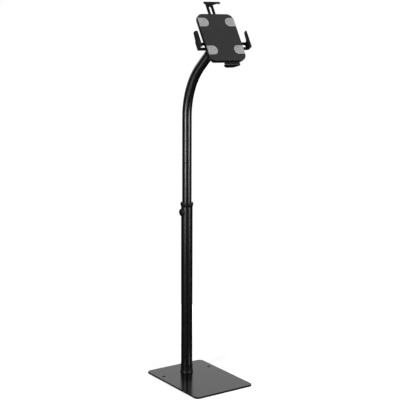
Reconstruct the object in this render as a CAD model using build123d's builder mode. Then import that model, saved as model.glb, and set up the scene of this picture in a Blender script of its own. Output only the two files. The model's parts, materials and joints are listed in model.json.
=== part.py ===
from build123d import *
from math import cos, radians, sin, sqrt
import os

# Floor stand for a tablet.  A heavy foot plate carries a two-stage tube.  The upper
# tube slides in the lower one, is held by a side knob, and bends forward to a holder
# that tilts, turns and grips the tablet with four sliding hooks.
# Millimetres.  The tube axis is X = Y = 0, the floor is Z = 0, the front is -Y.

# Foot plate and floor mat
plate_w = 235.0
plate_d = 320.0
plate_front = 237.0
plate_t = 5.0
plate_corner_r = 16.0
plate_edge_r = 0.8
mat_t = 1.5
mat_inset = 2.0
anchor_spacing = 192.0
anchor_d = 6.6
anchor_head_d = 12.5

# Foot of the tube
plug_h = 20.0
foot_screw_d = 8.0
foot_screw_head_d = 15.0
foot_screw_circle_d = 20.0
foot_screw_count = 3
foot_screw_l = 18.0
foot_cover_h = 31.0
foot_cover_d = 47.0
foot_cover_wall = 1.2
foot_cover_skirt = 2.4

# Lower tube and its collar
tube_d = 40.0
tube_wall = 2.0
tube_l = 597.5
collar_d = 44.6
collar_cone_h = 8.0
collar_h = 15.5
collar_round = 1.5
collar_sleeve_l = 46.0

# Clamp knob on the -X side
knob_drop = 18.5
knob_d = 26.5
knob_h = 6.6
knob_rim_h = 2.4
knob_gap = 0.6
knob_skin = 1.2
knob_flute_count = 8
knob_flute_r = 1.5
knob_flute_depth = 0.6
stud_d = 6.0
boss_d = 13.0
boss_out = 2.4
shoe_d = 8.0
shoe_l = 3.3
shoe_travel = 1.0

# Upper tube
mast_d = 32.6
mast_wall = 1.8
mast_bottom_z = 330.0
bend_start_z = 915.0
bend_r = 226.0
bend_angle = 50.4
neck_l = 62.0
bush_l = 30.0
bush_lip = 3.0

# Eye in the tube's end and the tilt pivot
spigot_l = 54.0
spigot_core_d = 16.0
shoulder_t = 4.0
eye_w = 22.0
eye_r = 12.0
pivot_reach = 97.0
pivot_d = 8.0
eye_pin_d = 4.0
eye_pin_l = 6.5
eye_pin_first = 15.0
eye_pin_pitch = 20.0
tilt_washer_t = 1.0
ear_t = 5.0
bolt_head_d = 15.0
bolt_head_h = 4.5
bolt_head_round = 2.5
nut_across = 13.0
nut_h = 6.5
bolt_tip = 1.5

# Holder face: place and lean
head_reach = 201.0
head_height = 1186.8
holder_tilt = 30.5

# Turning joint behind the holder
turn_disc_d = 50.0
turn_block_t = 10.0
flange_t = 4.0
hub_d = 14.0
turn_washer_d = 20.0
turn_washer_t = 1.5
turn_screw_d = 6.0
turn_head_d = 11.0
turn_head_h = 3.2
flange_screw_circle_d = 38.0
flange_screw_count = 4
flange_screw_d = 4.0
flange_head_d = 7.6

# Front tray of the holder
tray_w = 144.0
tray_h = 170.0
tray_t = 9.5
tray_corner_r = 24.0
tray_wall = 2.6
tray_edge_r = 1.2
rib_t = 1.8
post_d = 9.0
insert_d = 6.6
insert_l = 5.0

# Grip pads
pad_l = 39.0
pad_h = 31.0
pad_out = 0.8
pad_sunk = 0.6
pad_edge = 0.4
pad_top_inset = 30.5
pad_bottom_inset = 38.5

# Rear housing of the holder
house_w = 127.0
house_h = 169.0
house_floor = 3.4
house_corner_r = 15.0
house_wall = 2.5
house_edge_r = 2.5
fence_t = 2.4
rail_l = 46.0
side_rail_l = 36.0
post_inset_x = 11.5
post_inset_v = 14.5
clamp_inset = 12.5
side_clamp_inset = 9.5
tray_screw_d = 4.0
tray_head_d = 8.0
tray_head_h = 2.4

# Sliding arms
arm_t = 2.0
arm_w = 28.0
arm_end_r = 4.0
arm_inner_r = 1.0
slot_w = 8.0
slot_end = 7.5
slot_web = 5.0
hook_w = 61.0
hook_front = 10.0
hook_shoulder = 8.5
hook_round = 2.0
hook_lip = 8.7
top_hook_v = 125.5
top_arm_l = 96.0
bottom_hook_v = -106.0
bottom_arm_l = 84.0
side_hook_x = 101.0
side_arm_l = 82.0
side_arm_v = -27.0
finger_l = 46.0
finger_lip = 7.4
finger_root = 4.0
finger_root_depth = 18.5
finger_tip_depth = 15.0
finger_round = 4.0
finger_foot_round = 6.0
clamp_screw_d = 5.0
clamp_head_d = 9.5
clamp_head_h = 2.7
liner_t = 1.0
liner_h = 5.3
liner_margin = 2.5

# Clearances and lead-in chamfers
running = 0.06
press = 0.05
bolt_gap = 0.05
slide = 0.2
part_gap = 0.3
lead = 0.8

# Sizes and places that follow
tube_r = tube_d / 2
bore_r = tube_r - tube_wall
mast_r = mast_d / 2
mast_bore_r = mast_r - mast_wall
plate_top_z = mat_t + plate_t
tube_top_z = plate_top_z + tube_l
knob_z = tube_top_z - knob_drop
plate_middle = (0, plate_d / 2 - plate_front)

ear_in = eye_w / 2 + tilt_washer_t + 2 * bolt_gap
ear_out = ear_in + ear_t
ear_foot = 2 * sqrt((turn_disc_d / 2) ** 2 - ear_out**2) - 2 * lead

# Depths behind the holder's face
front_arm_depth = tray_t + slide
front_land_depth = front_arm_depth + arm_t + slide / 2
rear_arm_depth = front_arm_depth + arm_t + part_gap
floor_depth = rear_arm_depth + arm_t + slide / 2
rear_post_depth = rear_arm_depth - slide / 2
flange_depth = floor_depth + house_floor
block_depth = flange_depth + flange_t + part_gap
block_back = block_depth + turn_block_t
hub_depth = block_back + part_gap
turn_head_depth = hub_depth + turn_washer_t

# The holder's own frame: x across, y up the holder, z out of its front
lean = radians(holder_tilt)
face = Plane(
    origin=(0, -head_reach, head_height),
    x_dir=(1, 0, 0),
    z_dir=(0, -cos(lean), sin(lean)),
)
front = Axis(face.origin, face.z_dir)

os.makedirs("parts", exist_ok=True)


def save(piece, name):
    """Label a finished piece and write it."""
    piece.part.label = name
    export_step(piece.part, f"parts/{name}.step")


def layer(depth):
    """Plane parallel to the holder's face, this far behind it."""
    return face.offset(-depth)


def side(x):
    """Plane across the holder: local x out of its front, y up it, z towards -X."""
    return Plane(origin=face.from_local_coords((x, 0, 0)), x_dir=face.z_dir, z_dir=(-1, 0, 0))


def flat_heads(head_d, shank_d):
    """Countersunk screw heads that open against the plane's normal, 90 degrees."""
    Cone(
        head_d / 2 - bolt_gap,
        shank_d / 2,
        (head_d - shank_d) / 2 - bolt_gap,
        align=(Align.CENTER, Align.CENTER, Align.MIN),
    )


# Foot: mat, plate, plug, screws and cover
with BuildPart() as floor_mat:
    with BuildSketch():
        with Locations(plate_middle):
            RectangleRounded(
                plate_w - 2 * mat_inset, plate_d - 2 * mat_inset, plate_corner_r - mat_inset
            )
        with GridLocations(anchor_spacing, 0, 2, 1):
            Circle(anchor_head_d / 2, mode=Mode.SUBTRACT)
    extrude(amount=mat_t)
save(floor_mat, "floor_mat")

plate_underside = Plane(origin=(0, 0, mat_t), x_dir=(1, 0, 0), z_dir=(0, 0, -1))
with BuildPart() as foot_plate:
    with BuildSketch(Plane.XY.offset(mat_t)):
        with Locations(plate_middle):
            RectangleRounded(plate_w, plate_d, plate_corner_r)
    extrude(amount=plate_t)
    fillet(foot_plate.faces().sort_by(Axis.Z)[-1].edges(), plate_edge_r)
    with Locations(Plane.XY.offset(plate_top_z)):
        with GridLocations(anchor_spacing, 0, 2, 1):
            CounterSinkHole(anchor_d / 2, anchor_head_d / 2, plate_t, 90)
    with Locations(plate_underside):
        with PolarLocations(foot_screw_circle_d / 2, foot_screw_count):
            CounterSinkHole(foot_screw_d / 2 + bolt_gap, foot_screw_head_d / 2, plate_t, 90)
save(foot_plate, "foot_plate")

with BuildPart() as foot_plug:
    with BuildSketch(Plane.XY.offset(plate_top_z)):
        Circle(bore_r - press)
    extrude(amount=plug_h)
    chamfer(foot_plug.faces().sort_by(Axis.Z)[-1].edges(), lead)
    with BuildSketch(Plane.XY.offset(plate_top_z)):
        with PolarLocations(foot_screw_circle_d / 2, foot_screw_count):
            Circle(foot_screw_d / 2 + bolt_gap)
    extrude(amount=plug_h, mode=Mode.SUBTRACT)
save(foot_plug, "foot_plug")

with BuildPart() as foot_screws:
    with BuildSketch(Plane.XY.offset(mat_t)):
        with PolarLocations(foot_screw_circle_d / 2, foot_screw_count):
            Circle(foot_screw_d / 2)
    extrude(amount=foot_screw_l)
    with Locations(Plane.XY.offset(mat_t)):
        with PolarLocations(foot_screw_circle_d / 2, foot_screw_count):
            flat_heads(foot_screw_head_d, foot_screw_d)
save(foot_screws, "foot_screws")

with BuildPart() as foot_cover:
    with BuildSketch(Plane.XZ):
        with BuildLine():
            bore = Line((tube_r + press, plate_top_z), (tube_r + press, plate_top_z + foot_cover_h))
            rim = Line(bore @ 1, (tube_r + foot_cover_wall, plate_top_z + foot_cover_h))
            flare = Spline(
                rim @ 1,
                (foot_cover_d / 2, plate_top_z + foot_cover_skirt),
                tangents=[(0.05, -1), (0.5, -1)],
            )
            skirt = Line(flare @ 1, (foot_cover_d / 2, plate_top_z))
            Line(skirt @ 1, bore @ 0)
        make_face()
    revolve(axis=Axis.Z)
save(foot_cover, "foot_cover")

# Lower tube, collar and clamp.  clamp_side looks out along the knob's axis.
clamp_side = Plane(origin=(0, 0, knob_z), x_dir=(0, 1, 0), z_dir=(-1, 0, 0))
knob_section = Plane(origin=(-tube_r, 0, knob_z), x_dir=(0, 0, 1), z_dir=(0, -1, 0))
knob_axis = Axis((0, 0, knob_z), (-1, 0, 0))

with BuildPart() as lower_tube:
    with BuildSketch(Plane.XY.offset(plate_top_z)):
        Circle(tube_r)
        Circle(bore_r, mode=Mode.SUBTRACT)
    extrude(amount=tube_l)
    with BuildSketch(clamp_side):
        Circle(boss_d / 2 + press)
    extrude(amount=tube_d, mode=Mode.SUBTRACT)
save(lower_tube, "lower_tube")

sleeve_r = bore_r - running
with BuildPart() as collar:
    with BuildSketch(Plane.XZ):
        with BuildLine():
            bore = Line(
                (mast_r + running, tube_top_z - collar_sleeve_l),
                (mast_r + running, tube_top_z + collar_h - lead),
            )
            mouth = Line(bore @ 1, (mast_r + running + lead, tube_top_z + collar_h))
            top = Line(mouth @ 1, (collar_d / 2 - collar_round, tube_top_z + collar_h))
            shoulder = JernArc(top @ 1, (1, 0), collar_round, -90)
            cone = Polyline(
                shoulder @ 1,
                (collar_d / 2, tube_top_z + collar_cone_h),
                (tube_r + part_gap, tube_top_z),
                (sleeve_r, tube_top_z),
                (sleeve_r, tube_top_z - collar_sleeve_l),
                bore @ 0,
            )
        make_face()
    revolve(axis=Axis.Z)
    with BuildSketch(clamp_side):
        Circle(boss_d / 2 + press)
    extrude(amount=tube_d, mode=Mode.SUBTRACT)
save(collar, "collar")

with BuildPart() as clamp_boss:
    with BuildSketch(clamp_side):
        Circle(boss_d / 2)
        Circle(stud_d / 2 + bolt_gap, mode=Mode.SUBTRACT)
    extrude(amount=tube_r + boss_out)
    with BuildSketch(clamp_side):
        Circle(shoe_d / 2 + running)
    extrude(amount=mast_r + shoe_l + shoe_travel + part_gap, mode=Mode.SUBTRACT)
    with BuildSketch(Plane.XY.offset(knob_z - boss_d)):
        Circle(mast_r + part_gap)
    extrude(amount=2 * boss_d, mode=Mode.SUBTRACT)
save(clamp_boss, "clamp_boss")

with BuildPart() as brake_shoe:
    with BuildSketch(clamp_side):
        Circle(shoe_d / 2)
    extrude(amount=mast_r + shoe_l)
    with BuildSketch(Plane.XY.offset(knob_z - shoe_d)):
        Circle(mast_r + running)
    extrude(amount=2 * shoe_d, mode=Mode.SUBTRACT)
save(brake_shoe, "brake_shoe")

with BuildPart() as clamp_knob:
    with BuildSketch(knob_section):
        with BuildLine():
            inside = Polyline(
                (stud_d / 2 + bolt_gap, boss_out + part_gap),
                (boss_d / 2 + 2 * part_gap, boss_out + part_gap),
                (boss_d / 2 + 2 * part_gap, knob_gap),
                (knob_d / 2 - part_gap, knob_gap),
                (knob_d / 2, knob_gap + part_gap),
                (knob_d / 2, knob_rim_h),
            )
            dome = Spline(inside @ 1, (0, knob_h), tangents=[(-0.25, 1), (-1, 0)])
            Polyline(
                dome @ 1,
                (0, knob_h - knob_skin),
                (stud_d / 2 + bolt_gap, knob_h - knob_skin),
                inside @ 0,
            )
        make_face()
    revolve(axis=knob_axis)
    with BuildSketch(clamp_side.offset(tube_r)):
        with PolarLocations(knob_d / 2 + knob_flute_r - knob_flute_depth, knob_flute_count):
            Circle(knob_flute_r)
    extrude(amount=knob_h, mode=Mode.SUBTRACT)
save(clamp_knob, "clamp_knob")

stud_start = mast_r + shoe_l + bolt_gap
with BuildPart() as clamp_stud:
    with BuildSketch(clamp_side.offset(stud_start)):
        Circle(stud_d / 2)
    extrude(amount=tube_r + knob_h - knob_skin - bolt_gap - stud_start)
    chamfer(clamp_stud.faces().sort_by(Axis.X)[-1].edges(), lead)
save(clamp_stud, "clamp_stud")

# Upper tube, its guide bush, and the eye pinned in its end
with BuildPart() as mast_tube:
    with BuildLine(Plane.YZ):
        shaft = Line((0, mast_bottom_z), (0, bend_start_z))
        bend = JernArc(shaft @ 1, shaft % 1, bend_r, bend_angle)
        neck = Line(bend @ 1, bend @ 1 + (bend % 1) * neck_l)
    with BuildSketch(Plane(origin=shaft @ 0, z_dir=shaft % 0)):
        Circle(mast_r)
        Circle(mast_bore_r, mode=Mode.SUBTRACT)
    sweep()
    neck_end = Plane(origin=neck @ 1, x_dir=(1, 0, 0), z_dir=neck % 1)
    pin_side = Plane(origin=neck @ 1, x_dir=neck % 1, z_dir=(1, 0, 0))
    pin_places = [(-eye_pin_first - row * eye_pin_pitch, 0) for row in range(2)]
    with BuildSketch(pin_side):
        with Locations(*pin_places):
            Circle(eye_pin_d / 2 + press)
    extrude(amount=mast_d, mode=Mode.SUBTRACT)
save(mast_tube, "mast_tube")

with BuildPart() as guide_bush:
    with BuildSketch(Plane.XY.offset(mast_bottom_z - bush_lip)):
        Circle(sleeve_r)
        Circle(mast_bore_r, mode=Mode.SUBTRACT)
    extrude(amount=bush_lip)
    chamfer(guide_bush.faces().sort_by(Axis.Z)[0].edges(), lead)
    with BuildSketch(Plane.XY.offset(mast_bottom_z)):
        Circle(sleeve_r)
        Circle(mast_r + press, mode=Mode.SUBTRACT)
    extrude(amount=bush_l)
save(guide_bush, "guide_bush")

pivot_l = pivot_reach - neck_l
eye_side = Plane(
    origin=neck_end.from_local_coords((eye_w / 2, 0, 0)), x_dir=neck % 1, z_dir=(-1, 0, 0)
)
with BuildPart() as mast_eye:
    with BuildSketch(neck_end.offset(-spigot_l)):
        Circle(mast_bore_r - press)
    extrude(amount=spigot_l)
    with BuildSketch(neck_end):
        Circle(mast_r)
    extrude(amount=shoulder_t)
    chamfer(mast_eye.faces().sort_by(Axis(neck @ 1, neck % 1))[-1].edges(), lead)
    with BuildSketch(eye_side):
        with Locations((pivot_l / 2, 0)):
            Rectangle(pivot_l, 2 * eye_r)
        with Locations((pivot_l, 0)):
            Circle(eye_r)
            Circle(pivot_d / 2 + running, mode=Mode.SUBTRACT)
    extrude(amount=eye_w)
    with BuildSketch(neck_end.offset(-spigot_l)):
        Circle(spigot_core_d / 2)
    extrude(amount=spigot_l, mode=Mode.SUBTRACT)
    with BuildSketch(pin_side):
        with Locations(*pin_places):
            Circle(eye_pin_d / 2 + press)
    extrude(amount=mast_d, mode=Mode.SUBTRACT)
save(mast_eye, "mast_eye")

with BuildPart() as eye_pins:
    with BuildSketch(pin_side.offset(mast_r - slide)):
        with Locations(*pin_places):
            Circle(eye_pin_d / 2)
    extrude(amount=-eye_pin_l)
save(eye_pins, "eye_pins")

# Tilt joint: a fork on a disc, bolted through the eye
pivot = face.to_local_coords(bend @ 1 + (bend % 1) * pivot_reach)
pivot_place = (pivot.Z, pivot.Y)

with BuildPart() as tilt_block:
    with BuildSketch(layer(block_depth)):
        Circle(turn_disc_d / 2)
    extrude(amount=-turn_block_t)
    chamfer(tilt_block.faces().sort_by(front)[0].edges(), lead)
    for ear_x in (ear_out, -ear_in):
        with BuildSketch(side(ear_x)):
            with Locations(pivot_place):
                Circle(eye_r)
            with Locations((-block_back + turn_block_t / 4, 0)):
                Rectangle(turn_block_t / 2, ear_foot)
            make_hull()
            with Locations(pivot_place):
                Circle(pivot_d / 2 + bolt_gap, mode=Mode.SUBTRACT)
        extrude(amount=ear_t)
    with BuildSketch(layer(block_depth)):
        Circle(hub_d / 2 + running)
    extrude(amount=-turn_block_t, mode=Mode.SUBTRACT)
save(tilt_block, "tilt_block")

with BuildPart() as tilt_washers:
    for washer_x in (ear_in - bolt_gap, -eye_w / 2 - bolt_gap):
        with BuildSketch(side(washer_x)):
            with Locations(pivot_place):
                Circle(eye_r - lead)
                Circle(pivot_d / 2 + bolt_gap, mode=Mode.SUBTRACT)
        extrude(amount=tilt_washer_t)
save(tilt_washers, "tilt_washers")

bolt_l = 2 * ear_out + nut_h + bolt_tip
with BuildPart() as pivot_bolt:
    with BuildSketch(side(bolt_l - ear_out)):
        with Locations(pivot_place):
            Circle(pivot_d / 2)
    extrude(amount=bolt_l)
    chamfer(pivot_bolt.faces().sort_by(Axis.X)[-1].edges(), lead)
    with BuildSketch(side(-ear_out)):
        with Locations(pivot_place):
            Circle(bolt_head_d / 2)
    extrude(amount=bolt_head_h)
    fillet(pivot_bolt.faces().sort_by(Axis.X)[0].edges(), bolt_head_round)
    with BuildSketch(side(-ear_out - bolt_head_h)):
        with Locations(pivot_place):
            RegularPolygon(pivot_d / 3, 6)
    extrude(amount=-bolt_head_h / 2, mode=Mode.SUBTRACT)
save(pivot_bolt, "pivot_bolt")

with BuildPart() as pivot_nut:
    with BuildSketch(side(ear_out + nut_h)):
        with Locations(pivot_place):
            RegularPolygon(nut_across / 2, 6, major_radius=False)
            Circle(pivot_d / 2 + bolt_gap, mode=Mode.SUBTRACT)
    extrude(amount=nut_h)
save(pivot_nut, "pivot_nut")

# Turning joint: a flange with a hub through the fork's disc
with BuildPart() as turn_flange:
    with BuildSketch(layer(flange_depth)):
        Circle(turn_disc_d / 2)
        with PolarLocations(flange_screw_circle_d / 2, flange_screw_count, start_angle=45):
            Circle(flange_screw_d / 2 + bolt_gap, mode=Mode.SUBTRACT)
    extrude(amount=-flange_t)
    with BuildSketch(layer(flange_depth)):
        Circle(hub_d / 2)
    extrude(amount=flange_depth - hub_depth)
    with BuildSketch(layer(flange_depth)):
        Circle(turn_screw_d / 2 + bolt_gap)
    extrude(amount=flange_depth - hub_depth, mode=Mode.SUBTRACT)
save(turn_flange, "turn_flange")

with BuildPart() as flange_screws:
    with BuildSketch(layer(floor_depth)):
        with PolarLocations(flange_screw_circle_d / 2, flange_screw_count, start_angle=45):
            Circle(flange_screw_d / 2)
    extrude(amount=-house_floor - flange_t + part_gap)
    flange_heads = Plane(origin=layer(floor_depth).origin, x_dir=(1, 0, 0), z_dir=face.z_dir * -1)
    with Locations(flange_heads):
        with PolarLocations(flange_screw_circle_d / 2, flange_screw_count, start_angle=45):
            flat_heads(flange_head_d, flange_screw_d)
save(flange_screws, "flange_screws")

with BuildPart() as turn_washer:
    with BuildSketch(layer(hub_depth)):
        Circle(turn_washer_d / 2)
        Circle(turn_screw_d / 2 + bolt_gap, mode=Mode.SUBTRACT)
    extrude(amount=-turn_washer_t)
save(turn_washer, "turn_washer")

with BuildPart() as turn_screw:
    with BuildSketch(layer(turn_head_depth)):
        Circle(turn_screw_d / 2)
    extrude(amount=turn_head_depth - flange_depth)
    with BuildSketch(layer(turn_head_depth)):
        Circle(turn_head_d / 2)
    extrude(amount=-turn_head_h)
    chamfer(turn_screw.faces().sort_by(front)[0].edges(), lead)
    with BuildSketch(layer(turn_head_depth + turn_head_h)):
        RegularPolygon(turn_screw_d / 3, 6)
    extrude(amount=turn_head_h / 2, mode=Mode.SUBTRACT)
save(turn_screw, "turn_screw")

# Where screws clamp the arms, and where they join tray and housing
front_clamps = [(0, house_h / 2 - clamp_inset), (0, clamp_inset - house_h / 2)]
side_clamp_x = house_w / 2 - side_clamp_inset
rear_clamps = [(-side_clamp_x, side_arm_v), (side_clamp_x, side_arm_v)]
post_x = house_w / 2 - post_inset_x
post_v = house_h / 2 - post_inset_v
corner_posts = [(x, v) for x in (-post_x, post_x) for v in (-post_v, post_v)]

# Rear housing: a shallow tub with fenced lands that guide the arms
channel_w = arm_w + 2 * slide
rail_w = channel_w + 2 * fence_t
rail_v = house_h / 2 - house_wall / 2 - rail_l / 2
side_rail_x = house_w / 2 - house_wall / 2 - side_rail_l / 2

with BuildPart() as rear_housing:
    with BuildSketch(layer(tray_t)):
        RectangleRounded(house_w, house_h, house_corner_r)
    extrude(amount=tray_t - flange_depth)
    fillet(rear_housing.faces().sort_by(front)[0].edges(), house_edge_r)
    with BuildSketch(layer(tray_t)):
        RectangleRounded(
            house_w - 2 * house_wall, house_h - 2 * house_wall, house_corner_r - house_wall
        )
    extrude(amount=tray_t - floor_depth, mode=Mode.SUBTRACT)
    with BuildSketch(layer(floor_depth)):
        with Locations((0, rail_v), (0, -rail_v)):
            Rectangle(rail_w, rail_l)
        with Locations((side_rail_x, side_arm_v), (-side_rail_x, side_arm_v)):
            Rectangle(side_rail_l, rail_w)
        with Locations(*corner_posts):
            Circle(post_d / 2)
    extrude(amount=floor_depth - tray_t)
    with BuildSketch(layer(tray_t)):
        Rectangle(channel_w, house_h)
    extrude(amount=tray_t - front_land_depth, mode=Mode.SUBTRACT)
    with BuildSketch(layer(tray_t)):
        with Locations((0, side_arm_v)):
            Rectangle(house_w, channel_w)
    extrude(amount=tray_t - floor_depth, mode=Mode.SUBTRACT)
    with BuildSketch(layer(tray_t)):
        with Locations(*front_clamps, *rear_clamps):
            Circle(clamp_screw_d / 2 + bolt_gap)
        with Locations(*corner_posts):
            Circle(tray_screw_d / 2 + bolt_gap)
    extrude(amount=tray_t - flange_depth, mode=Mode.SUBTRACT)
    with BuildSketch(layer(flange_depth)):
        with Locations(*corner_posts):
            Circle(tray_head_d / 2 + bolt_gap)
    extrude(amount=tray_head_h, mode=Mode.SUBTRACT)
    with Locations(layer(floor_depth)):
        with PolarLocations(flange_screw_circle_d / 2, flange_screw_count, start_angle=45):
            CounterSinkHole(flange_screw_d / 2 + bolt_gap, flange_head_d / 2, house_floor, 90)
save(rear_housing, "rear_housing")

# Front tray: a flat face with pad pockets, ribs and screw posts behind it
pads = {
    "pad_upper_left": (-1, tray_h / 2 - pad_top_inset),
    "pad_upper_right": (1, tray_h / 2 - pad_top_inset),
    "pad_lower_left": (-1, pad_bottom_inset - tray_h / 2),
    "pad_lower_right": (1, pad_bottom_inset - tray_h / 2),
}
pad_margin = tray_edge_r + slide


def pad_shapes(places, grow=0.0):
    """Pads round towards the middle, and cut off along the tray's edge."""
    with Locations(*[(sign * tray_w / 2, v) for sign, v in places]):
        SlotOverall(2 * pad_l + 2 * grow, pad_h + 2 * grow)
    inset = pad_margin - grow
    RectangleRounded(
        tray_w - 2 * inset, tray_h - 2 * inset, tray_corner_r - inset, mode=Mode.INTERSECT
    )


with BuildPart() as front_tray:
    with BuildSketch(layer(tray_t)):
        RectangleRounded(tray_w, tray_h, tray_corner_r)
    extrude(amount=tray_t)
    fillet(front_tray.faces().sort_by(front)[-1].edges(), tray_edge_r)
    with BuildSketch(layer(tray_t)):
        RectangleRounded(
            tray_w - 2 * tray_wall, tray_h - 2 * tray_wall, tray_corner_r - tray_wall
        )
    extrude(amount=tray_t - tray_wall, mode=Mode.SUBTRACT)
    with BuildSketch(layer(tray_t)):
        with Locations(*[(x, 0) for x in (-post_x, -rail_w / 2, rail_w / 2, post_x)]):
            Rectangle(rib_t, tray_h)
        with Locations(*[(0, v) for v in (-post_v, side_arm_v, 0, post_v)]):
            Rectangle(tray_w, rib_t)
        RectangleRounded(
            tray_w - tray_wall, tray_h - tray_wall, tray_corner_r - tray_wall / 2,
            mode=Mode.INTERSECT,
        )
        with Locations(*corner_posts, *front_clamps):
            Circle(post_d / 2)
    extrude(amount=tray_t - tray_wall)
    with BuildSketch(layer(rear_post_depth)):
        with Locations(*rear_clamps):
            Circle(post_d / 2)
    extrude(amount=rear_post_depth - tray_wall)
    with BuildSketch(layer(tray_t)):
        with Locations(*corner_posts, *front_clamps):
            Circle(insert_d / 2 + press)
    extrude(amount=insert_l, mode=Mode.SUBTRACT)
    with BuildSketch(layer(rear_post_depth)):
        with Locations(*rear_clamps):
            Circle(insert_d / 2 + press)
    extrude(amount=insert_l, mode=Mode.SUBTRACT)
    with BuildSketch(face):
        pad_shapes(pads.values(), grow=press)
    extrude(amount=-pad_sunk, mode=Mode.SUBTRACT)
save(front_tray, "front_tray")

for pad_name, pad_place in pads.items():
    with BuildPart() as pad:
        with BuildSketch(layer(pad_sunk)):
            pad_shapes([pad_place])
        extrude(amount=pad_sunk + pad_out)
        chamfer(pad.faces().sort_by(front)[-1].edges(), pad_edge)
    save(pad, pad_name)

# Inserts and screws of the holder
with BuildPart() as thread_inserts:
    with BuildSketch(layer(tray_t)):
        with Locations(*corner_posts, *front_clamps):
            Circle(insert_d / 2)
        with Locations(*corner_posts):
            Circle(tray_screw_d / 2 + bolt_gap, mode=Mode.SUBTRACT)
        with Locations(*front_clamps):
            Circle(clamp_screw_d / 2 + bolt_gap, mode=Mode.SUBTRACT)
    extrude(amount=insert_l)
    with BuildSketch(layer(rear_post_depth)):
        with Locations(*rear_clamps):
            Circle(insert_d / 2)
            Circle(clamp_screw_d / 2 + bolt_gap, mode=Mode.SUBTRACT)
    extrude(amount=insert_l)
save(thread_inserts, "thread_inserts")

with BuildPart() as tray_screws:
    with BuildSketch(layer(flange_depth)):
        with Locations(*corner_posts):
            Circle(tray_head_d / 2)
    extrude(amount=tray_head_h)
    with BuildSketch(layer(flange_depth)):
        with Locations(*corner_posts):
            Circle(tray_screw_d / 2)
    extrude(amount=flange_depth - tray_t + insert_l)
save(tray_screws, "tray_screws")

with BuildPart() as clamp_screws:
    with BuildSketch(layer(flange_depth)):
        with Locations(*front_clamps, *rear_clamps):
            Circle(clamp_head_d / 2)
    extrude(amount=-clamp_head_h)
    chamfer(clamp_screws.faces().group_by(front)[0].edges(), lead)
    with BuildSketch(layer(flange_depth + clamp_head_h)):
        with Locations(*front_clamps, *rear_clamps):
            RegularPolygon(clamp_screw_d / 3, 6)
    extrude(amount=clamp_head_h / 2, mode=Mode.SUBTRACT)
    for clamp_places, post_depth in ((front_clamps, tray_t), (rear_clamps, rear_post_depth)):
        with BuildSketch(layer(flange_depth)):
            with Locations(*clamp_places):
                Circle(clamp_screw_d / 2)
        extrude(amount=flange_depth - post_depth + insert_l)
save(clamp_screws, "clamp_screws")


# Sliding arms, each bent from one strip.  In an arm's own plane +y points outward
# along the arm, and the origin is the hook's outer face, level with the holder's.
def hook_plane(x, v, outward):
    """Plane at a hook, given by its place on the holder and the arm's direction."""
    return Plane(
        origin=face.from_local_coords((x, v, 0)),
        x_dir=outward.cross(face.z_dir),
        z_dir=face.z_dir,
    )


def t_outline(depth):
    """Corners and radii of a T hook seen along the arm: wide lip, narrow bar."""
    half = [
        (hook_w / 2, hook_front, hook_round),
        (hook_w / 2, hook_front - hook_shoulder, hook_round),
        (arm_w / 2, -depth, 0),
        (arm_w / 2, -depth - arm_t, 0),
    ]
    return half + [(-x, z, r) for x, z, r in reversed(half)]


def finger_outline(depth, sign):
    """Corners and radii of a side hook: the finger rises to one side of its bar."""
    corners = [
        (arm_w / 2, -depth - arm_t, 0),
        (arm_w / 2, -depth, 0),
        (arm_w / 2 + finger_root, hook_front - finger_root_depth, 0),
        (finger_l, hook_front - finger_tip_depth, finger_round),
        (finger_l, hook_front, finger_round),
        (-arm_w / 2, hook_front, finger_foot_round),
        (-arm_w / 2, -depth - arm_t, 0),
    ]
    return [(sign * x, z, r) for x, z, r in corners]


def sliding_arm(place, depth, length, lip, outline):
    """Bend the strip's profile along the arm, trim it across, and slot the bar."""
    along = Plane(origin=place.origin, x_dir=place.y_dir, z_dir=place.x_dir)
    across = Plane(origin=place.origin, x_dir=place.x_dir, z_dir=place.y_dir * -1)
    bar_z = -depth - arm_t / 2
    lip_z = hook_front - arm_t / 2
    with BuildPart() as arm:
        with BuildSketch(along):
            with BuildLine():
                FilletPolyline(
                    (-length, bar_z),
                    (-arm_t / 2, bar_z),
                    (-arm_t / 2, lip_z),
                    (-lip, lip_z),
                    radius=arm_inner_r + arm_t / 2,
                )
            trace(line_width=arm_t)
        extrude(amount=hook_w, both=True)
        with BuildSketch(across):
            with BuildLine():
                FilletPolyline(
                    *[(x, z) for x, z, r in outline],
                    radius=[r for x, z, r in outline],
                    close=True,
                )
            make_face()
        extrude(amount=2 * length, both=True, mode=Mode.INTERSECT)
        upright = arm.edges().filter_by(Axis(place.origin, place.z_dir))
        fillet(upright.group_by(Axis(place.origin, place.y_dir))[0], arm_end_r)
        with BuildSketch(place.offset(-depth)):
            with Locations((0, (slot_web - slot_end - length) / 2)):
                SlotOverall(length - slot_end - slot_web, slot_w, rotation=90)
        extrude(amount=-arm_t, mode=Mode.SUBTRACT)
    return arm


def hook_liner(place, near_x, far_x):
    """Soft strip on the inner side of a hook's wall, under its lip."""
    liner_top = hook_front - arm_t - arm_inner_r - slide
    with BuildPart() as liner:
        with BuildSketch(place.offset(liner_top - liner_h)):
            with Locations(((near_x + far_x) / 2, -arm_t - liner_t / 2)):
                Rectangle(abs(far_x - near_x) - 2 * liner_margin, liner_t)
        extrude(amount=liner_h)
    return liner


up = face.y_dir
right = face.x_dir
top_place = hook_plane(0, top_hook_v, up)
bottom_place = hook_plane(0, bottom_hook_v, up * -1)
left_place = hook_plane(-side_hook_x, side_arm_v, right * -1)
right_place = hook_plane(side_hook_x, side_arm_v, right)

for name, place, arm_l in (
    ("top", top_place, top_arm_l),
    ("bottom", bottom_place, bottom_arm_l),
):
    outline = t_outline(front_arm_depth)
    save(sliding_arm(place, front_arm_depth, arm_l, hook_lip, outline), f"arm_{name}")
    save(hook_liner(place, -hook_w / 2, hook_w / 2), f"liner_{name}")

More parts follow.
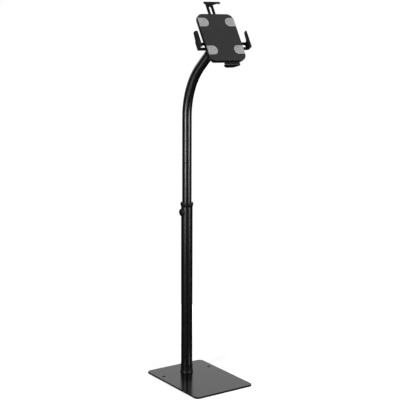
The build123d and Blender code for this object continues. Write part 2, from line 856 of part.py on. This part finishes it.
for name, place, sign in (("left", left_place, 1), ("right", right_place, -1)):
    outline = finger_outline(rear_arm_depth, sign)
    save(sliding_arm(place, rear_arm_depth, side_arm_l, finger_lip, outline), f"arm_{name}")
    save(hook_liner(place, -sign * arm_w / 2, sign * finger_l), f"liner_{name}")
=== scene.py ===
# %% [markdown]
# # A floor stand for a tablet
# The stand is a heavy steel plate, a two-stage black tube with a forward bend, and a moulded
# holder whose four sheet-metal hooks slide in and out. Almost every face is black, so its looks
# hang on gloss, on fine surface grain and on how edges catch the light. The solids come from the
# packed model. This script gives them their finishes and adds what the solids leave out: broken
# edges, the studs of the grip pads and the weld beads.

# %% Load the packed model
import json
import math

import bmesh
import bpy
from mathutils import Matrix, Vector


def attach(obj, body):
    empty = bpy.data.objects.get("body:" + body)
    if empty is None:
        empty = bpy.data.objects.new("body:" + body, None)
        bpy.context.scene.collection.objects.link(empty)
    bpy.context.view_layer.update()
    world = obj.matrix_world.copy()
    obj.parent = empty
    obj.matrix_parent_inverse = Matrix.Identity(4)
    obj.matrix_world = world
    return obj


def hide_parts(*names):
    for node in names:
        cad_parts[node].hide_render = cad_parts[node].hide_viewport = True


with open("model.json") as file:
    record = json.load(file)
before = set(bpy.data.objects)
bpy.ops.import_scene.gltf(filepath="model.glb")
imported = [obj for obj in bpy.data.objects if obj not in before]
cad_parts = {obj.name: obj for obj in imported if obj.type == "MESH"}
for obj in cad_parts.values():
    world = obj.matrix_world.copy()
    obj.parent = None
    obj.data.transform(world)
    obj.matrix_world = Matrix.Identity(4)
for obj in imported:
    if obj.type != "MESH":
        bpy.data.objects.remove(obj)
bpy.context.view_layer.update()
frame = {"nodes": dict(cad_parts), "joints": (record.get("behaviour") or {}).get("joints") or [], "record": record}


record = frame["record"]
nodes = frame["nodes"]
slot_of = {part["node"]: part["material_slot"] for part in record["subparts"]}
members_of = record["behaviour"]["bodies"]
body_of = {node: body for body, members in members_of.items() for node in members}

# %% [markdown]
# ## The camera
# The photograph was taken from in front and to one side with a long lens, a little above the
# holder. A look-at constraint would give the right direction but not the exact framing. The camera
# matrix is therefore built from its three axes, so that one real centimetre lands where the
# photograph has it. The angles, the place and the lens were fitted to the foot plate's corners, the
# tube's edges and the holder.

# %% Camera
def placed(name, data):
    """A new object at the origin of the scene."""
    thing = bpy.data.objects.new(name, data)
    bpy.context.scene.collection.objects.link(thing)
    return thing


view_turn = math.radians(-34.3672)
view_drop = math.radians(9.8243)
view_roll = math.radians(0.2011)
view_from = Vector((-1.912, -2.8764, 1.2251))
focal_pixels = 1011.7106
picture_pixels = 400
sensor_mm = 36

ahead = Vector(
    (
        -math.sin(view_turn) * math.cos(view_drop),
        math.cos(view_turn) * math.cos(view_drop),
        -math.sin(view_drop),
    )
)
level = Vector((math.cos(view_turn), math.sin(view_turn), 0))
rise = level.cross(ahead)
across = level * math.cos(view_roll) + rise * math.sin(view_roll)
upward = rise * math.cos(view_roll) - level * math.sin(view_roll)
axes = Matrix((across, upward, -ahead)).transposed().to_4x4()

lens_data = bpy.data.cameras.new("photo_camera")
lens_data.sensor_width = sensor_mm
lens_data.lens = focal_pixels / picture_pixels * sensor_mm
lens_data.clip_end = 60
camera = placed("photo_camera", lens_data)
camera.matrix_world = Matrix.Translation(view_from) @ axes
bpy.context.scene.camera = camera
bpy.context.scene.view_settings.view_transform = "Standard"
print("lens", round(lens_data.lens, 2), "mm")

# %% [markdown]
# ## Writing finishes as sums
# A node graph is easier to read as arithmetic. `Amount` wraps one output socket, and each operator
# on it adds a Math node: `1 - mask` makes a Subtract node with a 1 in its first socket and a link
# in its second. Wiring each of these nodes by hand would hide the sum in forty lines.

# %% Shader arithmetic
class Amount:
    """A number, colour or direction that may change over the surface."""

    def __init__(self, finish, socket):
        self.finish = finish
        self.socket = socket

    def math(self, operation, first, second, clamp=False):
        """A Math node on two amounts."""
        settings = {"operation": operation, "use_clamp": clamp}
        return self.finish.node("ShaderNodeMath", settings, {0: first, 1: second})

    def __add__(self, other):
        return self.math("ADD", self, other)

    def __radd__(self, other):
        return self.math("ADD", other, self)

    def __sub__(self, other):
        return self.math("SUBTRACT", self, other)

    def __rsub__(self, other):
        return self.math("SUBTRACT", other, self)

    def __mul__(self, other):
        return self.math("MULTIPLY", self, other)

    def __rmul__(self, other):
        return self.math("MULTIPLY", other, self)

    def clamped(self):
        """The same amount, kept between 0 and 1."""
        return self.math("ADD", self, 0.0, clamp=True)

    def above(self, edge, soft):
        """0 under edge, 1 over edge plus soft, and a straight ramp between."""
        return ((self - edge) * (1 / soft)).clamped()


print("operators:", [name for name in vars(Amount) if name.endswith(("add__", "sub__", "mul__"))])

# %% [markdown]
# ## Making nodes
# A finish is a tree of nodes, and so is the world round the stand. `Finish` holds one such tree
# while it is being written. Its `node` method makes every node, so each one is a single line: the
# kind, then the settings, because some of them change which sockets exist, then the sockets.

# %% Finishes under construction
class Finish:
    """The node tree of a material or of the world, while it is being written."""

    def __init__(self, owner):
        owner.use_nodes = True
        self.owner = owner
        self.tree = owner.node_tree
        self.tree.nodes.clear()

    def node(self, kind, settings=None, sockets=None, output=0):
        """Any node: its settings, then its sockets' values or links; gives one output."""
        made = self.tree.nodes.new(kind)
        for key, value in (settings or {}).items():
            setattr(made, key, value)
        for key, value in (sockets or {}).items():
            if isinstance(value, Amount):
                self.tree.links.new(value.socket, made.inputs[key])
            else:
                made.inputs[key].default_value = value
        return Amount(self, made.outputs[output]) if made.outputs else None

    def end(self, surface, kind="ShaderNodeOutputMaterial"):
        """Sends a shader to the tree's output node."""
        self.node(kind, None, {"Surface": surface})


def grey(value, warmth=0.0):
    """A linear grey with an alpha; warmth above 0 leans to red."""
    return (value * (1 + warmth), value, value * (1 - warmth), 1.0)


print("a mid grey is written", grey(0.5))

# %% [markdown]
# ## Things that many finishes share
# Coordinates are the object's own, in metres, so a noise scale of 1000 has features about a
# millimetre wide. `edges` compares the surface normal with one that a Bevel node rounds: where they
# differ, there is an edge. That mask places a painted highlight, a lighter colour, along edges, and
# in most finishes lowers the roughness there too, on any mesh.

# %% Shared patterns
def place(finish):
    """The point on the piece, in metres."""
    return finish.node("ShaderNodeTexCoord", output="Object")


def noise(finish, at, scale, detail, rough=0.5):
    """Cloudy noise from 0 to 1, features about 1 / scale metres wide."""
    sockets = {"Vector": at, "Scale": scale, "Detail": detail, "Roughness": rough}
    return finish.node("ShaderNodeTexNoise", None, sockets)


def cells(finish, at, scale, feature="F1"):
    """Distance to the nearest of many scattered points."""
    sockets = {"Vector": at, "Scale": scale}
    return finish.node("ShaderNodeTexVoronoi", {"feature": feature}, sockets)


def dot(finish, first, second):
    """How far one direction, or point, reaches along another."""
    settings = {"operation": "DOT_PRODUCT"}
    return finish.node("ShaderNodeVectorMath", settings, {0: first, 1: second}, "Value")


def edges(finish, width):
    """1 on an edge and 0 on a flat face."""
    rounded_normal = finish.node("ShaderNodeBevel", {"samples": 4}, {"Radius": width})
    own_normal = finish.node("ShaderNodeNewGeometry", output="Normal")
    return (1 - dot(finish, rounded_normal, own_normal)).above(0.01, 0.22)


def mix(finish, mask, low, high):
    """A colour between low and high."""
    # A Mix node has one set of sockets for each kind of value: colours use 6, 7 and output 2.
    return finish.node("ShaderNodeMix", {"data_type": "RGBA"}, {0: mask, 6: low, 7: high}, 2)


def relief(finish, height, strength, depth):
    """A Bump node: depth is in metres."""
    sockets = {"Strength": strength, "Distance": depth, "Height": height}
    return finish.node("ShaderNodeBump", None, sockets)


def shade(finish, colour, roughness, normal, **fixed):
    """The Principled shader and the output; fixed values go on its own sockets."""
    sockets = {"Base Color": colour, "Roughness": roughness, "Normal": normal}
    for key, value in fixed.items():
        sockets[key.replace("_", " ")] = value
    finish.end(finish.node("ShaderNodeBsdfPrincipled", None, sockets))
    return finish.owner


print("patterns:", [pattern.__name__ for pattern in (noise, cells, edges)])

# %% [markdown]
# ## Powder coat
# The plate, the tubes and the brackets are steel with a baked powder coat: near black, half glossy,
# with a faint orange peel where the powder flowed together. Flat black paint would look like a hole
# in the picture. The peel is a bump of cells about two millimetres wide, slow noise shifts the
# gloss a little from place to place, and thin edges get a painted highlight, a slightly lighter
# grey, and a little less roughness.

# %% Powder coat
def powder_coat(name, tint, gloss, peel, shine):
    """Baked black paint: tint is its grey, gloss its roughness, shine its specular level."""
    coat = Finish(bpy.data.materials.new(name))
    spot = place(coat)
    cloud = noise(coat, spot, scale=7, detail=3)
    grain = noise(coat, spot, scale=900, detail=1)
    lumps = cells(coat, spot, scale=420, feature="SMOOTH_F1")
    edge_highlight_mask = edges(coat, width=0.0007)
    patches = (cloud * 0.6 + grain * 0.4).above(0.3, 0.4)
    colour = mix(coat, patches, grey(tint * 0.8), grey(tint * 1.25))
    # Edges get a painted highlight: a lighter, slightly warm grey mixed in along them.
    colour_with_painted_light = mix(coat, edge_highlight_mask * 0.5, colour, grey(tint * 3.2, warmth=0.02))
    rough = (cloud - 0.5) * 0.1 + grain * 0.04 + (gloss - 0.02) - edge_highlight_mask * 0.04
    bump = relief(coat, lumps * 0.7 + grain * 0.3, strength=peel, depth=0.0003)
    return shade(coat, colour_with_painted_light, rough, bump, Specular_IOR_Level=shine)


coats = {
    "plate_paint": {"tint": 0.0018, "gloss": 0.17, "peel": 0.02, "shine": 0.36},
    "tube_paint": {"tint": 0.0022, "gloss": 0.29, "peel": 0.05, "shine": 0.85},
    "bracket_paint": {"tint": 0.008, "gloss": 0.32, "peel": 0.12, "shine": 0.36},
    "arm_paint": {"tint": 0.006, "gloss": 0.32, "peel": 0.10, "shine": 0.36},
}
finishes = {name: powder_coat(name, **values) for name, values in coats.items()}
print("powder coats:", sorted(coats))

# %% [markdown]
# ## The holder's own directions
# The holder leans back, so its own up and out are not the world's. Turning whole objects would be
# one way, but the frame keeps every piece unturned. So one matrix leads from the holder's own
# directions to the world's, and a mesh is made in the first and moved to the second. The joint that
# turns the holder points straight out of the middle of its face, so the record gives both.

# %% Holder frame
turning = next(joint for joint in frame["joints"] if joint["name"] == "head_turn")
face_centre = Vector(turning["pos_m"])
face_out = Vector(turning["axis"])
face_right = Vector((1, 0, 0))
face_up = face_out.cross(face_right)
holder_axes = Matrix((face_right, face_up, face_out)).transposed().to_4x4()
holder_frame = Matrix.Translation(face_centre) @ holder_axes
to_holder = holder_frame.inverted()
print("the holder leans back", round(math.degrees(math.asin(face_out.z)), 1), "degrees")

# %% [markdown]
# ## Moulded plastic
# The holder, the collar, the knob and the foot sleeve are moulded in a filled plastic. Most of the
# mould is spark eroded, which leaves a fine dull grain instead of a polish. Scattered cells and a
# finer noise make that grain, and broad noise stands for slow flow in the mould. The walls of the
# tray are different: they slide along polished steel as the mould opens, so they come out smooth.
# Their colour is painted nearly black as shade, because they get less light than the face. The
# finish tells the two apart by a plane just behind the tray's front face.

# %% Moulded plastic
def moulded(name, tint, gloss, grain_depth, shine, front=None):
    """Black plastic with a grain; behind front, a plane's direction and level, it is smoother and painted near
    black as shade.
    """
    resin = Finish(bpy.data.materials.new(name))
    spot = place(resin)
    cloud = noise(resin, spot, scale=9, detail=4, rough=0.6)
    pits = cells(resin, spot, scale=1500)
    grit = noise(resin, spot, scale=2600, detail=2)
    edge_highlight_mask = edges(resin, width=0.0006)
    colour = mix(resin, cloud.above(0.35, 0.3), grey(tint * 0.88), grey(tint * 1.12))
    # Edges get a painted highlight: a lighter grey mixed in along them.
    colour_with_painted_light = mix(resin, edge_highlight_mask * 0.35, colour, grey(tint * 2.2))
    rough = (cloud - 0.5) * 0.08 + pits * 0.10 + (gloss - 0.03) - edge_highlight_mask * 0.06
    if front:
        direction, front_level = front
        # Behind the plane the walls are made smoother and their colour is painted near black, as shade.
        unshaded_front = dot(resin, spot, direction).above(front_level, 0.0006)
        colour_with_painted_light = mix(resin, unshaded_front, grey(0.004), colour_with_painted_light)
        rough = rough - (1 - unshaded_front) * 0.26
    bump = relief(resin, pits * 0.6 + grit * 0.4, strength=0.12, depth=grain_depth)
    return shade(resin, colour_with_painted_light, rough, bump, Specular_IOR_Level=shine)


# The walls behind this plane are made smoother and painted near black, as shade.
shaded_walls_start = 0.0012  # metres from the middle of the holder's face back to the polished walls
tray_front = (face_out, face_centre.dot(face_out) - shaded_walls_start)
plastics = {
    "tray_plastic": {
        "tint": 0.0180,
        "gloss": 0.56,
        "grain_depth": 0.00012,
        "shine": 0.28,
        "front": tray_front,
    },
    "housing_plastic": {"tint": 0.026, "gloss": 0.50, "grain_depth": 0.00012, "shine": 0.35},
    "fitting_plastic": {"tint": 0.004, "gloss": 0.36, "grain_depth": 0.00010, "shine": 0.30},
    "shoe_plastic": {"tint": 0.30, "gloss": 0.42, "grain_depth": 0.00008, "shine": 0.5},
}
finishes.update({name: moulded(name, **values) for name, values in plastics.items()})
print("plastics:", sorted(plastics))

# %% [markdown]
# ## Rubber
# The four grip pads are soft mid-grey rubber, dull and slightly dusty. The floor mat and the strips
# in the hooks are the same stuff in black. Rubber scatters light at its surface, so it gets a high
# roughness, a soft mottling and a fine bump rather than any gloss.

# %% Rubber
def rubber(name, tint, mottle, grain_depth):
    """Dull moulded rubber; mottle is how far its grey wanders, as a share."""
    gum = Finish(bpy.data.materials.new(name))
    spot = place(gum)
    cloud = noise(gum, spot, scale=120, detail=4, rough=0.65)
    fine = noise(gum, spot, scale=1800, detail=2)
    dust = cells(gum, spot, scale=900)
    patches = (cloud * 0.7 + fine * 0.3).above(0.32, 0.36)
    colour = mix(gum, patches, grey(tint * (1 - mottle)), grey(tint * (1 + mottle)))
    rough = 0.80 + (cloud - 0.5) * 0.12 + dust * 0.06
    bump = relief(gum, fine * 0.6 + dust * 0.4, strength=0.4, depth=grain_depth)
    return shade(gum, colour, rough, bump, Specular_IOR_Level=0.3)


rubbers = {
    "pad_rubber": {"tint": 0.275, "mottle": 0.10, "grain_depth": 0.00015},
    "black_rubber": {"tint": 0.018, "mottle": 0.20, "grain_depth": 0.00020},
}
finishes.update({name: rubber(name, **values) for name, values in rubbers.items()})
print("rubbers:", sorted(rubbers))

# %% [markdown]
# ## Fasteners
# Plated steel is bright with a faint blue-yellow tint. Black oxide is dark but still metal. The
# thread inserts are brass. All are metallic, so their colour is the colour of their reflection, and
# small scratches, drawn out along the upright, show as changes in roughness.

# %% Metals
def metal(name, dark, bright, gloss, scratch):
    """Bare or plated metal between two colours, with fine scratches."""
    stock = Finish(bpy.data.materials.new(name))
    spot = place(stock)
    drawn_out = {"Vector": spot, "Scale": (900, 900, 90)}
    stretched = stock.node("ShaderNodeMapping", None, drawn_out)
    lines = noise(stock, stretched, scale=1.0, detail=2)
    cloud = noise(stock, spot, scale=160, detail=3)
    edge_highlight_mask = edges(stock, width=0.0004)
    colour = mix(stock, (cloud * 0.6 + lines * 0.4).above(0.35, 0.3), dark, bright)
    # Edges get a painted highlight: the brighter metal colour mixed in along them.
    colour_with_painted_light = mix(stock, edge_highlight_mask * 0.4, colour, bright)
    rough = lines * scratch + (cloud - 0.5) * 0.1 + (gloss - scratch * 0.5)
    bump = relief(stock, lines, strength=0.15, depth=0.00005)
    return shade(stock, colour_with_painted_light, rough, bump, Metallic=1.0)


metals = {
    "zinc_steel": {
        "dark": (0.52, 0.53, 0.55, 1),
        "bright": (0.66, 0.66, 0.64, 1),
        "gloss": 0.32,
        "scratch": 0.18,
    },
    "black_screws": {
        "dark": (0.035, 0.035, 0.038, 1),
        "bright": (0.075, 0.075, 0.08, 1),
        "gloss": 0.38,
        "scratch": 0.15,
    },
    "insert_brass": {
        "dark": (0.58, 0.40, 0.16, 1),
        "bright": (0.76, 0.56, 0.26, 1),
        "gloss": 0.30,
        "scratch": 0.15,
    },
}
finishes.update({name: metal(name, **values) for name, values in metals.items()})
print("finishes for", len(finishes), "slots")

# %% [markdown]
# ## Dress the solids
# Each node of the model names a material slot in the record, so its finish follows from that name.

# %% Give every solid its finish
for name, piece in nodes.items():
    piece.data.materials.clear()
    piece.data.materials.append(finishes[slot_of[name]])
print("dressed", len(nodes), "nodes")

# %% [markdown]
# ## From a mesh to a piece
# Every new piece starts as a bmesh and ends as an object that carries a slot's finish. A node's
# mesh is loose triangles, as it comes from the packed model. A copy of one therefore has its
# doubles merged and its flat faces joined before anything is done to its edges.

# %% Meshes and pieces
def show(shape, name, slot, smooth=40):
    """A finished bmesh as an object with a finish; smooth is the turn at which edges stay sharp."""
    data = bpy.data.meshes.new(name)
    for face in shape.faces:
        face.smooth = True
    shape.to_mesh(data)
    shape.free()
    data.set_sharp_from_angle(angle=math.radians(smooth))
    data.materials.append(finishes[slot])
    piece = placed(name, data)
    return piece


def clean_copy(node):
    """A node's mesh as one connected shell with whole flat faces."""
    shape = bmesh.new()
    shape.from_mesh(nodes[node].data)
    bmesh.ops.remove_doubles(shape, verts=shape.verts, dist=2e-6)
    flat = math.radians(0.4)
    bmesh.ops.dissolve_limit(shape, angle_limit=flat, verts=shape.verts, edges=shape.edges)
    return shape


print("loose corners in all nodes:", sum(len(piece.data.vertices) for piece in nodes.values()))

# %% [markdown]
# ## Broken edges
# The hooks are cut from sheet, and their edges are tumbled until they are safe to touch. In the
# solids they are knife sharp, and a sharp edge catches no light. A Bevel modifier on the node would
# bevel the seams between its loose triangles too. So only those edges of a clean copy are bevelled
# that really turn. Large faces then set the shading at their corners, so that flat sheet looks
# flat. The copy is shown in the node's place.

# %% Softened copies
def soften(node, width, turn=30):
    """Bevels the edges of a node's copy that turn by more than an angle."""
    shape = clean_copy(node)
    least = math.radians(turn)
    sharp = [edge for edge in shape.edges if edge.is_manifold and edge.calc_face_angle() > least]
    bmesh.ops.bevel(
        shape,
        geom=sharp,
        offset=width,
        offset_type="OFFSET",
        segments=2,
        profile=0.5,
        affect="EDGES",
        material=-1,
        clamp_overlap=True,
    )
    bmesh.ops.remove_doubles(shape, verts=shape.verts, dist=1e-7)
    bmesh.ops.recalc_face_normals(shape, faces=shape.faces)
    piece = show(shape, "soft_" + node, slot_of[node])
    even = piece.modifiers.new("even_shading", "WEIGHTED_NORMAL")
    even.keep_sharp = True
    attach(piece, body_of[node])
    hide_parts(node)
    print("softened", node, len(sharp), "edges,", len(piece.data.polygons), "faces")


for arm in ("arm_top", "arm_bottom", "arm_left", "arm_right"):
    soften(arm, width=0.00035)
soften("tilt_block", width=0.0004)
soften("turn_flange", width=0.0003)

# %% [markdown]
# ## Grip pads
# Each pad is a rubber moulding with a smooth rim round a sunk field of low studs. An inset of the
# pad's front face would give the rim, but it folds over itself in the tight corners. So the outline
# of its back is drawn forward in steps instead, each a little smaller: the wall, the rounded lip,
# the rim, and the field below the rim.

# %% Steps of a pad
def drawn(shape, faces, vec=(0, 0, 0), factors=(1, 1, 1), keep=False):
    """Extrudes faces, moves and scales the new ones about their middle, and gives them."""
    made = bmesh.ops.extrude_face_region(shape, geom=faces)["geom"]
    left_behind = [] if keep else [face for face in faces if face.is_valid]
    bmesh.ops.delete(shape, geom=left_behind, context="FACES_ONLY")
    corners = [item for item in made if isinstance(item, bmesh.types.BMVert)]
    low = Vector([min(corner.co[axis] for corner in corners) for axis in range(3)])
    high = Vector([max(corner.co[axis] for corner in corners) for axis in range(3)])
    middle = Matrix.Translation((low + high) / -2)
    bmesh.ops.scale(shape, vec=factors, space=middle, verts=corners)
    bmesh.ops.translate(shape, vec=vec, verts=corners)
    return [item for item in made if isinstance(item, bmesh.types.BMFace)]


def pad_back(node):
    """The back face of a pad, in the holder's directions, and how far out it lies."""
    shape = clean_copy(node)
    bmesh.ops.transform(shape, matrix=to_holder, verts=shape.verts)
    low = min(vert.co.z for vert in shape.verts)
    bmesh.ops.recalc_face_normals(shape, faces=shape.faces)
    touches_tray = low + 1e-5
    rest = [
        face
        for face in shape.faces
        if face.normal.z >= -0.99 or face.calc_center_median().z >= touches_tray
    ]
    bmesh.ops.delete(shape, geom=rest, context="FACES")
    bmesh.ops.dissolve_faces(shape, faces=shape.faces[:])
    bmesh.ops.remove_doubles(shape, verts=shape.verts, dist=0.0004)
    bmesh.ops.reverse_faces(shape, faces=shape.faces[:])
    return shape, low


wall_height = 0.0011
lip_height = 0.0003
lip_size = (0.985, 0.98, 1)  # each step's size, as a share of the step before it
rim_size = (0.885, 0.855, 1)
print("a pad is", round((wall_height + lip_height) * 1000, 2), "mm thick at its rim")

# %% [markdown]
# ## Studs
# The studs keep the tablet from slipping, and at a distance they make the pad look a little darker
# inside its rim. An Array modifier would fill a rectangle, but the field has round corners. So a
# stud is set on each point of a square grid where a whole one fits. Eight sides are enough for a
# cone that is a third of a millimetre high.

# %% Studs
stud_pitch = 0.0017
stud_radius = 0.00062
stud_height = 0.0003
quarter_turns = (0, 1.57, 3.14, 4.71)


def inside(point, outline):
    """True where a point lies in a closed outline of points."""
    crossings = 0
    for first, second in zip(outline, outline[1:] + outline[:1]):
        if (first.y > point.y) != (second.y > point.y):
            along = (point.y - first.y) / (second.y - first.y)
            crossings += first.x + along * (second.x - first.x) > point.x
    return crossings % 2 == 1


def fits(spot, outline):
    """True where a stud and a little room round it lie in the outline."""
    reach = stud_radius * 1.3
    ring = [spot + Vector((math.cos(a), math.sin(a), 0)) * reach for a in quarter_turns]
    return all(inside(point, outline) for point in ring)


def add_stud(shape, spot):
    """A short cone, with a tenth of its height sunk into the field."""
    top_radius = stud_radius * 0.6
    stud = bmesh.ops.create_cone(
        shape, cap_ends=True, segments=8, radius1=stud_radius, radius2=top_radius, depth=stud_height
    )
    middle = spot + Vector((0, 0, stud_height * 0.4))
    bmesh.ops.translate(shape, verts=stud["verts"], vec=middle)


def stud_field(shape, outline, field_level):
    """Studs on a square grid, wherever a whole one fits in the outline; gives their number."""
    xs = [point.x for point in outline]
    ys = [point.y for point in outline]
    count = 0
    for column in range(int((max(xs) - min(xs)) / stud_pitch) + 1):
        for row in range(int((max(ys) - min(ys)) / stud_pitch) + 1):
            x = min(xs) + (column + 0.5) * stud_pitch
            y = min(ys) + (row + 0.5) * stud_pitch
            spot = Vector((x, y, field_level))
            if fits(spot, outline):
                add_stud(shape, spot)
                count += 1
    return count


print("studs", round(stud_radius * 2000, 2), "mm wide,", round(stud_pitch * 1000, 2), "mm apart")

# %% [markdown]
# ## The four pads
# A pad is built lying flat in the holder's own directions, where its outline and the grid are plain
# to work with, and then moved into its place in one go. It rides on the holder, and the plain pad
# of the solids is hidden behind it.

# %% Pads with studs
def studded_pad(node):
    """A pad with a rim, a sunk field and studs, on the outline of its node."""
    shape, low = pad_back(node)
    wall = drawn(shape, shape.faces[:], vec=(0, 0, wall_height), keep=True)
    lip = drawn(shape, wall, vec=(0, 0, lip_height), factors=lip_size)
    rim = drawn(shape, lip, factors=rim_size)
    field = drawn(shape, rim, vec=(0, 0, -lip_height), factors=lip_size)
    bmesh.ops.recalc_face_normals(shape, faces=shape.faces)
    outline = [vert.co.copy() for vert in field[0].verts]
    count = stud_field(shape, outline, low + wall_height)
    bmesh.ops.transform(shape, matrix=holder_frame, verts=shape.verts)
    piece = show(shape, "studded_" + node, "pad_rubber", smooth=25)
    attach(piece, "holder")
    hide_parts(node)
    print(node, count, "studs, outline of", len(outline), "corners")


for pad in ("pad_upper_left", "pad_upper_right", "pad_lower_left", "pad_lower_right"):
    studded_pad(pad)

# %% [markdown]
# ## Weld beads
# The two ears of the tilting block are welded to its disc before it is painted. A hand weld looks
# like a row of overlapping coins. Each coin is a flattened low ball, and the paint is the block's.

# %% Beads along the ears
ear_side = 0.0172  # in metres, in the holder's directions
bead_end = 0.0150
bead_depth = -0.0318
bead_radius = 0.0014
bead_pitch = 0.0011
bead_sway = 0.00012


def weld_bead(name, side):
    """Overlapping flattened balls along one ear's foot."""
    shape = bmesh.new()
    lean = Matrix.Rotation(0.35, 3, "Z")
    steps = int(2 * bead_end / bead_pitch)
    for step in range(steps + 1):
        ball = bmesh.ops.create_uvsphere(shape, u_segments=10, v_segments=6, radius=bead_radius)
        bmesh.ops.scale(shape, vec=(1.0, 0.62, 1.0), verts=ball["verts"])
        bmesh.ops.rotate(shape, cent=(0, 0, 0), matrix=lean, verts=ball["verts"])
        sway = bead_sway * math.sin(step * 1.7)
        spot = (side + sway, step * bead_pitch - bead_end, bead_depth)
        bmesh.ops.translate(shape, verts=ball["verts"], vec=spot)
    bmesh.ops.transform(shape, matrix=holder_frame, verts=shape.verts)
    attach(show(shape, name, "bracket_paint", smooth=80), "fork")
    print(name, steps + 1, "coins")


weld_bead("weld_left", -ear_side)
weld_bead("weld_right", ear_side)

# %% [markdown]
# ## The floor
# Black gloss shows its surroundings more than itself, so the studio is built as much for mirror
# reflections as for light. The stand was shot on a white sweep. A round white floor keeps the
# shadow, and for the eye it brightens towards its rim, so that it melts into the white behind. The
# photograph's lower tube stays black down to its foot, as it does over a dark floor, so mirror
# reflections see this floor as nearly black.

# %% Floor
def light_path(finish, ray):
    """1 for one kind of ray and 0 for the others: Camera, Glossy or Transmission."""
    return finish.node("ShaderNodeLightPath", output="Is " + ray + " Ray")


floor_radius = 0.9
floor_drop = 0.0003  # keeps the floor and the mat's underside apart
floor_mesh = bmesh.new()
bmesh.ops.create_circle(floor_mesh, cap_ends=True, segments=96, radius=floor_radius)
bmesh.ops.translate(floor_mesh, verts=floor_mesh.verts, vec=(0, 0, -floor_drop))
floor_data = bpy.data.meshes.new("studio_floor")
floor_mesh.to_mesh(floor_data)
floor_mesh.free()
floor = placed("studio_floor", floor_data)

card = Finish(bpy.data.materials.new("studio_card"))
seen = light_path(card, "Camera")
mirrored = light_path(card, "Glossy")
through = light_path(card, "Transmission")
reach = card.node("ShaderNodeVectorMath", {"operation": "LENGTH"}, {0: place(card)}, "Value")
brighten = seen * reach.above(0.35, 0.5) * 0.75 + 0.25
glow_strength = (seen + through) * brighten
matte = card.node("ShaderNodeBsdfDiffuse", None, {"Color": grey(0.80)})
glow = card.node("ShaderNodeEmission", None, {"Color": grey(1.0), "Strength": glow_strength})
lit = card.node("ShaderNodeAddShader", None, {0: matte, 1: glow})
dark = card.node("ShaderNodeEmission", None, {"Color": grey(1.0), "Strength": 0.01})
card.end(card.node("ShaderNodeMixShader", None, {0: mirrored * 0.99, 1: lit, 2: dark}))
floor_data.materials.append(card.owner)
print("floor radius", floor_radius, "m")

# %% [markdown]
# ## The surroundings
# The world is white for the eye, and an even soft grey for all light that falls on the stand. For
# mirror reflections it is shaped: white where the sweep stands behind the object, white for a card
# low on the left that draws the pale line inside the bend, and nearly black elsewhere, as in a dim
# room. Black flags low at both sides are part of that dark, and keep the rims of the tubes black.

# %% Surrounding light
world = bpy.data.worlds.new("studio_world")
bpy.context.scene.world = world
air = Finish(world)
mirror = light_path(air, "Glossy")
toward = air.node("ShaderNodeTexCoord", output="Generated")
sweep_side = Vector((ahead.x, ahead.y, 0)).normalized()
facing = dot(air, toward, sweep_side)
height = dot(air, toward, (0, 0, 1))
leftward = dot(air, toward, -level)
sweep = facing.above(0.1, 0.6) * height.above(-0.06, 0.2)
low_card = (0 - height).above(0.40, 0.25) * leftward.above(-0.1, 0.3)
straight = light_path(air, "Camera") + light_path(air, "Transmission")
white = (straight + mirror * (sweep + low_card)).clamped()
room = (height.above(-0.25, 0.5) * 0.30 + 0.10) * (1 - mirror * 0.97)
strength = white + (1 - white) * room
sky = air.node("ShaderNodeBackground", None, {"Color": grey(1.0), "Strength": strength})
air.end(sky, "ShaderNodeOutputWorld")
print("the world's tree has", len(air.tree.nodes), "nodes")

# %% [markdown]
# ## Softboxes
# Two tall softboxes draw the pair of pale lines up the tubes, one on each side of the camera. A
# point lamp would give hard sparks there instead. A third, wide one overhead lights the plate and
# gives the soft shadow. None of them is seen by the camera.

# %% Softboxes
def softbox(name, width, tall, at, aim, power):
    """A rectangular lamp at a place, facing a point; power is in watts."""
    data = bpy.data.lights.new(name, "AREA")
    data.shape = "RECTANGLE"
    data.size = width
    data.size_y = tall
    data.energy = power
    lamp = placed(name, data)
    away = (Vector(at) - Vector(aim)).normalized()
    turned = away.to_track_quat("Z", "Y").to_matrix().to_4x4()
    lamp.matrix_world = Matrix.Translation(at) @ turned
    lamp.visible_camera = False


def round_the_stand(turn, distance, up):
    """A place seen from the tube at an angle from the camera's side, in degrees."""
    to_camera = Vector((-ahead.x, -ahead.y, 0)).normalized()
    towards = Matrix.Rotation(math.radians(turn), 3, "Z") @ to_camera
    return towards * distance + Vector((0, 0, up))


box_height = 1.25
box_distance = 2.0
aim = (0, 0, box_height)
left_place = round_the_stand(-36, box_distance, box_height)
right_place = round_the_stand(56, box_distance, box_height)
above_stand = (0, 0, 3.4)
softbox("left_box", width=0.60, tall=1.8, at=left_place, aim=aim, power=36)
softbox("right_box", width=0.60, tall=1.8, at=right_place, aim=aim, power=28)
softbox("top_box", width=2.0, tall=2.0, at=above_stand, aim=(0, 0, 0), power=36)

# %% [markdown]
